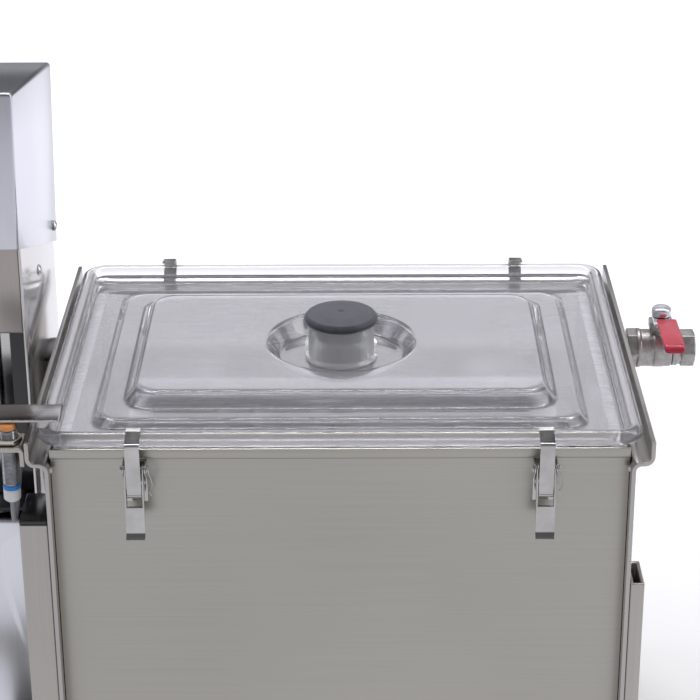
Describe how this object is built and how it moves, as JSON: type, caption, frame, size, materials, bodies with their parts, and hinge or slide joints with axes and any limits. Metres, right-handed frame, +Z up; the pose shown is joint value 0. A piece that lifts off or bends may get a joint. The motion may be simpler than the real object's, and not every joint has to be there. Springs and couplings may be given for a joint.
{
  "type": "dairy churning vat",
  "caption": "Jacketed stainless dairy vat with a clamped clear lid, a churning paddle, a ball valve, a lid sensor and a drive column beside it.",
  "frame": {"origin": "on the floor, below the middle of the machine's outline", "axes": "+Z up, +Y to the back, +X to the right, where the ball valve is"},
  "size_m": [0.6536, 0.3448, 0.5617],
  "materials": {
    "vat_steel": "fine vertical brushed finish",
    "trough_steel": "smooth satin finish",
    "paddle_steel": "satin finish",
    "clear_plastic": "clear polished plastic, faintly lilac",
    "black_rubber": "matt rubber",
    "flag_steel": "brushed along its length",
    "sensor_chrome": "polished thread",
    "sensor_orange": "smooth",
    "sensor_white": "smooth, with a blue band",
    "nut_steel": "polished",
    "cable_grey": "smooth cable jacket",
    "latch_steel": "satin pressed sheet",
    "valve_nickel": "nickel plated, cast texture",
    "valve_chrome": "polished",
    "lever_red": "dipped vinyl",
    "column_steel": "polished sheet",
    "cover_light": "light satin paint",
    "hood_steel": "brushed sheet",
    "shaft_chrome": "ground and chromed",
    "drive_paint": "dark enamel",
    "gear_steel": "machined",
    "black_plastic": "glossy moulding",
    "bearing_white": "machined",
    "frame_steel": "brushed tube"
  },
  "bodies": {
    "machine": {"end_plate_left": "vat_steel", "end_plate_right": "vat_steel", "vat_front_wall": "vat_steel", "vat_rear_wall": "vat_steel", "vat_outer_bottom": "vat_steel", "milk_trough": "trough_steel", "clear_lid": "clear_plastic", "lid_neck": "clear_plastic", "shaft_seal": "black_rubber", "foot_front_left": "black_rubber", "foot_front_right": "black_rubber", "foot_rear_left": "black_rubber", "foot_rear_right": "black_rubber", "sensor_flag": "flag_steel", "sensor_bracket": "flag_steel", "sensor_body": "sensor_chrome", "sensor_tip": "sensor_orange", "sensor_end_cap": "sensor_white", "sensor_nut": "nut_steel", "sensor_cable": "cable_grey", "latch_base_front_left": "latch_steel", "latch_base_front_right": "latch_steel", "latch_base_rear_left": "latch_steel", "latch_base_rear_right": "latch_steel", "latch_pin_front_left": "latch_steel", "latch_pin_front_right": "latch_steel", "latch_pin_rear_left": "latch_steel", "latch_pin_rear_right": "latch_steel", "valve_body": "valve_nickel", "valve_end_piece": "valve_nickel", "valve_packing_nut": "valve_nickel", "valve_nipple": "valve_chrome", "column_shell": "column_steel", "column_upper_cover": "column_steel", "column_lower_cover": "cover_light", "drive_hood": "hood_steel", "gear_motor": "drive_paint", "gearbox_housing": "drive_paint", "cable_duct": "black_plastic", "cable_gland": "black_plastic", "post_cap_front": "black_plastic", "post_cap_rear": "black_plastic", "paddle_bearing": "bearing_white", "base_frame": "frame_steel"},
    "stopper": {"rubber_stopper": "black_rubber"},
    "valve_handle": {"valve_ball_and_stem": "valve_chrome", "valve_lever": "lever_red", "valve_lever_nut": "nut_steel"},
    "paddle": {"churning_paddle": "paddle_steel", "bevel_wheel": "gear_steel"},
    "drive_line": {"drive_shaft": "shaft_chrome", "bevel_pinion": "gear_steel"},
    "latch_lever_front_left": {"latch_lever_front_left": "latch_steel"},
    "latch_strap_front_left": {"latch_strap_front_left": "latch_steel"},
    "latch_lever_front_right": {"latch_lever_front_right": "latch_steel"},
    "latch_strap_front_right": {"latch_strap_front_right": "latch_steel"},
    "latch_lever_rear_left": {"latch_lever_rear_left": "latch_steel"},
    "latch_strap_rear_left": {"latch_strap_rear_left": "latch_steel"},
    "latch_lever_rear_right": {"latch_lever_rear_right": "latch_steel"},
    "latch_strap_rear_right": {"latch_strap_rear_right": "latch_steel"}
  },
  "joints": [
    {"name": "latch_front_left_lever", "type": "hinge", "parent": "machine", "child": "latch_lever_front_left", "pos_m": [-0.08803, -0.1625, 0.3322], "axis": [-1, 0, 0], "range_deg": [0, 110]},
    {"name": "latch_front_left_strap", "type": "hinge", "parent": "latch_lever_front_left", "child": "latch_strap_front_left", "pos_m": [-0.08803, -0.1645, 0.3147], "axis": [-1, 0, 0], "range_deg": [-121, 0]},
    {"name": "latch_front_right_lever", "type": "hinge", "parent": "machine", "child": "latch_lever_front_right", "pos_m": [0.19357, -0.1625, 0.3322], "axis": [-1, 0, 0], "range_deg": [0, 110]},
    {"name": "latch_front_right_strap", "type": "hinge", "parent": "latch_lever_front_right", "child": "latch_strap_front_right", "pos_m": [0.19357, -0.1645, 0.3147], "axis": [-1, 0, 0], "range_deg": [-121, 0]},
    {"name": "latch_rear_left_lever", "type": "hinge", "parent": "machine", "child": "latch_lever_rear_left", "pos_m": [-0.08803, 0.1625, 0.3322], "axis": [1, 0, 0], "range_deg": [0, 110]},
    {"name": "latch_rear_left_strap", "type": "hinge", "parent": "latch_lever_rear_left", "child": "latch_strap_rear_left", "pos_m": [-0.08803, 0.1645, 0.3147], "axis": [1, 0, 0], "range_deg": [-121, 0]},
    {"name": "latch_rear_right_lever", "type": "hinge", "parent": "machine", "child": "latch_lever_rear_right", "pos_m": [0.19357, 0.1625, 0.3322], "axis": [1, 0, 0], "range_deg": [0, 110]},
    {"name": "latch_rear_right_strap", "type": "hinge", "parent": "latch_lever_rear_right", "child": "latch_strap_rear_right", "pos_m": [0.19357, 0.1645, 0.3147], "axis": [1, 0, 0], "range_deg": [-121, 0]},
    {"name": "stopper_lift", "type": "slide", "parent": "machine", "child": "stopper", "axis": [0, 0, 1], "range_m": [0, 0.045]},
    {"name": "valve_turn", "type": "hinge", "parent": "machine", "child": "valve_handle", "pos_m": [0.30028, 0.066, 0.3207], "axis": [0, 0, 1], "range_deg": [0, 90]},
    {"name": "paddle_turn", "type": "hinge", "parent": "machine", "child": "paddle", "pos_m": [-0.21122, 0, 0.2017], "axis": [1, 0, 0], "continuous": true},
    {"name": "drive_shaft_turn", "type": "hinge", "parent": "machine", "child": "drive_line", "pos_m": [-0.21122, 0, 0.2017], "axis": [0, 0, 1], "continuous": true}
  ],
  "couplings": [
    {"joint": "latch_front_left_strap", "follows": "latch_front_left_lever", "ratio": -1.1},
    {"joint": "latch_front_right_strap", "follows": "latch_front_right_lever", "ratio": -1.1},
    {"joint": "latch_rear_left_strap", "follows": "latch_rear_left_lever", "ratio": -1.1},
    {"joint": "latch_rear_right_strap", "follows": "latch_rear_right_lever", "ratio": -1.1},
    {"joint": "drive_shaft_turn", "follows": "paddle_turn", "ratio": -1}
  ]
}
